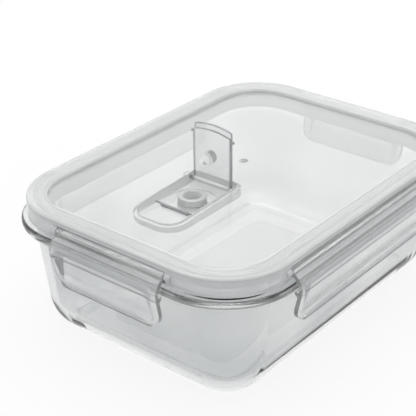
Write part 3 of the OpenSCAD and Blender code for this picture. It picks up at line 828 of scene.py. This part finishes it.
def scoop(length, distance):
    """The finger scoop: its floor is flat, and its top, its foot and its two ends slope up to the face."""
    proud = 0.6
    heights = [SCOOP_LOW, 49.4, 54, 58.6, SCOOP_DEEP, SCOOP_TOP]
    face = [plate_face(z) for z in heights]
    floor = [face[0]] + [u - SCOOP_D for u in face[1:-1]] + [face[-1]]
    points = list(zip(floor, heights)) + [(u + proud, z) for u, z in reversed(list(zip(face, heights)))]
    half = length / 2 - SCOOP_BORDER
    cutter = prism("scoop", [(-half, -distance - u, z) for u, z in points], (2 * half, 0, 0))
    for vert in cutter.data.vertices:
        z = vert.co.z / MM
        over = (-vert.co.y / MM - distance - plate_face(z)) / SCOOP_D
        slope = 0.8 + 3.7 * min(1, (z - SCOOP_LOW) / (SCOOP_DEEP - SCOOP_LOW))
        vert.co.x += math.copysign(1, vert.co.x) * over * slope * MM
    open_up(cutter)
    pick(cutter, "edges", lambda p: abs(p.z - SCOOP_LOW) < NEAR and abs(p.x) > half - 3 and abs(p.x) > 1)
    bpy.ops.mesh.bevel(offset=SCOOP_CORNER_R * MM, segments=8, affect="EDGES")
    return outward(cutter)


def make_latch(name, length, distance):
    """One latch at the front: the section pulled to its length, low corners rounded, scoop sunk."""
    section = [(-length / 2, -distance - u, z) for u, z in latch_section()]
    latch = outward(prism(name, section, (length, 0, 0)))
    plan = block("latch_plan", (-length / 2, -distance - 12, LATCH_LOW),
                 (length / 2, -distance + 12, RIM_H + 5),
                 [(LATCH_CORNER_R, lambda p: p.z < SHOULDER_Z)], axis=1, segments=12)
    work(latch, plan, "INTERSECT")
    work(latch, scoop(length, distance), "DIFFERENCE")
    soften(latch, 0.22, 17)
    pins = rod("pins", (0, -distance - ROLL_OUT, ROLL_Z), PIN_R, length + 2 * PIN_L,
               (0, QUARTER, 0), 24, 0.15)
    return work(latch, pins, "UNION")


def scoop_slopes(latch, distance):
    """The faces of the band along the scoop's top and of the wedges at its two ends, which take the satin
    plastic painted dark as painted shade.
    """
    slopes = set()
    for face in latch.data.polygons:
        z = face.center.z / MM
        if not SCOOP_LOW + 0.1 < z < SCOOP_TOP:
            continue
        sunk = plate_face(z) + face.center.y / MM + distance
        sloping = z > SCOOP_DEEP + 0.1 or 0.1 < abs(face.normal.x) < 0.95
        if 0.1 < sunk < SCOOP_D + 0.1 and sloping:
            slopes.add(face.index)
    return slopes


def make_latches(clear, satin):
    """The long and the short latch, each modelled once at the front and copied to its two sides."""
    for name, length, distance, sides in (
            ("long_latch", LONG_LATCH, LID_W / 2, (("front", 0), ("back", 180))),
            ("short_latch", SHORT_LATCH, LID_L / 2, (("left", -90), ("right", 90)))):
        pattern = make_latch(name, length, distance)
        slopes = scoop_slopes(pattern, distance)
        for side, turn in sides:
            copy = duplicate(pattern, f"{side}_clip")
            copy.matrix_world = Matrix.Rotation(math.radians(turn), 4, "Z")
            # the scoop's slopes take the satin plastic, which is rougher and painted darker as painted shade
            finish(set_place(copy), f"latch_{side}", f"{side}_latch", [clear, satin],
                   lambda face: face.index in slopes, angle=11)
        bpy.data.objects.remove(pattern)


# ---------- Vent ----------


def make_flap(clear, edge):
    """The open flap: a thin plate with a curved end, a thumb ledge, a peg, snap nubs and its hinge roll."""
    def bow(y):
        return FLAP_L - FLAP_BOW + math.sqrt(FLAP_BOW ** 2 - y ** 2)

    # the plate's edge faces take the dark edge plastic: painted shade
    def plate_rim(face):
        y, up = face.center.y / MM, face.center.z / MM - HINGE_Z
        return abs(face.normal.x) < 0.6 and math.hypot(y, up - PEG_AT) > PEG_R + 0.65 and up > 2

    half = FLAP_W / 2
    plan = eased([(-half, 0, 0), (half, 0, 0), (half, bow(half), 1.5),
                  *((y, bow(y), 0) for y in range(9, -10, -3)), (-half, bow(half), 1.5)])
    flap = outward(prism("flap", [(HINGE_X, y, HINGE_Z + up) for y, up in plan], (FLAP_T, 0, 0)))
    ledge = block("ledge", (HINGE_X - 2, -20, HINGE_Z + 15), (HINGE_X + LEDGE_D, 20, HINGE_Z + 40))
    work(ledge, rod("ledge_bow", (HINGE_X, 0, HINGE_Z + FLAP_L - FLAP_BOW), LEDGE_BOW, 10,
                    (0, QUARTER, 0), 192), "DIFFERENCE")
    work(flap, ledge, "DIFFERENCE")
    soften(flap, 0.22, 38)
    across = (QUARTER, 0, 0)
    for bar in (rod("flap_roll", (HINGE_X, 0, HINGE_Z), FLAP_ROLL_R, FLAP_W - 0.1, across, 32, 0.2),
                rod("flap_pins", (HINGE_X, 0, HINGE_Z), FLAP_PIN_R, WELL_W + 2.2, across, 24, 0.2),
                rod("peg", (HINGE_X + 0.5 - (PEG_L + 0.5) / 2, 0, HINGE_Z + PEG_AT), PEG_R, PEG_L + 0.5,
                    (0, QUARTER, 0), 48, 0.6),
                rod("nubs", (HINGE_X + FLAP_T / 2, 0, HINGE_Z + NUB_AT), NUB_R, WELL_W - 0.4, across,
                    24, 0.3)):
        work(flap, bar, "UNION")
    finish(flap, "vent_flap", "flap", [clear, edge], plate_rim)


def make_plug(material):
    """The silicone plug: a soft cup over the well's floor, a neck through it and a flange under it."""
    section = eased([
        (CUP_HOLLOW_R, CUP_TOP, 0.3), (CUP_R, CUP_TOP, 0.5), (CUP_R, NECK_TOP, 0.2),
        (NECK_R, NECK_TOP, 0.15), (NECK_R, NECK_LOW, 0.15), (PLUG_FLANGE_R, NECK_LOW, 0.3),
        (PLUG_FLANGE_R, PLUG_LOW, 0.4), (STEAM_R, PLUG_LOW, 0.2), (STEAM_R, CUP_FLOOR, 0.2),
        (CUP_HOLLOW_R, CUP_FLOOR, 0.4)], fine=20)
    plug = draw("plug", [(PLUG_X + r, 0, z) for r, z in section])
    bpy.ops.mesh.spin(steps=64, angle=2 * math.pi, center=mm(PLUG_X, 0, 0), axis=(0, 0, 1))
    set_place(plug)
    finish(outward(plug), "vent_plug", "lid_body", [material])


# ---------- Stage ----------


def make_stage():
    """A wide pale floor, which the eye and the clear parts see nearly white, with soft shadows on it."""
    put_down()
    bpy.ops.mesh.primitive_grid_add(x_subdivisions=2, y_subdivisions=2, size=6, location=(0, 0, 0))
    floor = set_place(bpy.context.active_object)
    floor.name = "studio_floor"
    f = Finish("studio_white")
    shades = f.tint(f.noise(300, 2.0), (0.86, 0.86, 0.86), (0.88, 0.88, 0.88))
    paint = f.node("ShaderNodeBsdfDiffuse", {}, {"Color": shades, "Roughness": 0.5})
    glow = f.node("ShaderNodeEmission", {}, {"Color": (1, 1, 1, 1), "Strength": 1.0})
    eye, mirrored, through = (f.node("ShaderNodeLightPath", out=f"Is {ray} Ray")
                              for ray in ("Camera", "Glossy", "Transmission"))
    share = f.maths("MAXIMUM", f.maths("MAXIMUM", eye, mirrored), through) * 0.88
    floor.data.materials.append(f.hand_over(f.node("ShaderNodeMixShader", {}, {0: share, 1: paint, 2: glow})))


def make_lights():
    """Walls that are pale low down and dark overhead, and one large soft lamp above the box."""
    world = bpy.data.worlds.new("studio")
    bpy.context.scene.world = world
    f = Finish("studio_walls", world)
    up = f.node("ShaderNodeSeparateXYZ", {}, {"Vector": f.node("ShaderNodeTexCoord", out="Generated")},
                out="Z")
    walls = f.ramp(up, (0.0, 1.0), (0.46, 1.0), (0.68, 0.2), (1.0, 0.06))
    f.hand_over(f.node("ShaderNodeBackground", {}, {"Color": walls, "Strength": 1.0}),
                "ShaderNodeOutputWorld")
    data = bpy.data.lights.new("soft_top", "AREA")
    data.shape, data.size, data.energy = "SQUARE", 1.5, 16.5
    lamp = bpy.data.objects.new("soft_top", data)
    bpy.context.collection.objects.link(lamp)
    lamp.location = (0.12, 0.12, 1.2)


set_camera()
scene = bpy.context.scene
scene.view_settings.view_transform = "Standard"
scene.cycles.max_bounces = scene.cycles.transmission_bounces = 32
make_stage()
make_lights()

# painted shade: dark plastic for the thin edges of clear parts
painted_edge_shade = painted_edge_shade_plastic()
silicone = milky_silicone()

make_container(pressed_glass("pressed_glass", False), pressed_glass("fire_polished_glass", True))
make_lid(rim=lid_plastic("milky_rim_plastic", 0.5, (0.9, 0.91, 0.914), (0.942, 0.95, 0.952)),
         panel=lid_plastic("clear_panel_plastic", 0.77, (0.975, 0.979, 0.98), (0.99, 0.992, 0.992)),
         edge=painted_edge_shade,
         # painted shade: the skirt plastic is a darker grey than the rim for the lid's side faces
         skirt=lid_plastic("skirt_painted_shade_plastic", 0.55, (0.77, 0.79, 0.798), (0.81, 0.828, 0.835)))
make_gasket(silicone)
make_latches(
    clear=latch_plastic("clear_latch_plastic", (0.92, 0.93, 0.933), (0.95, 0.957, 0.96), 0.83, 0.015),
    # satin: rougher, and painted dark grey as painted shade on the scoop's slopes
    satin=latch_plastic("satin_painted_shade_latch_plastic", (0.50, 0.52, 0.53), (0.58, 0.598, 0.606), 0.72, 0.2))
make_flap(flap_plastic(), painted_edge_shade)
make_plug(silicone)
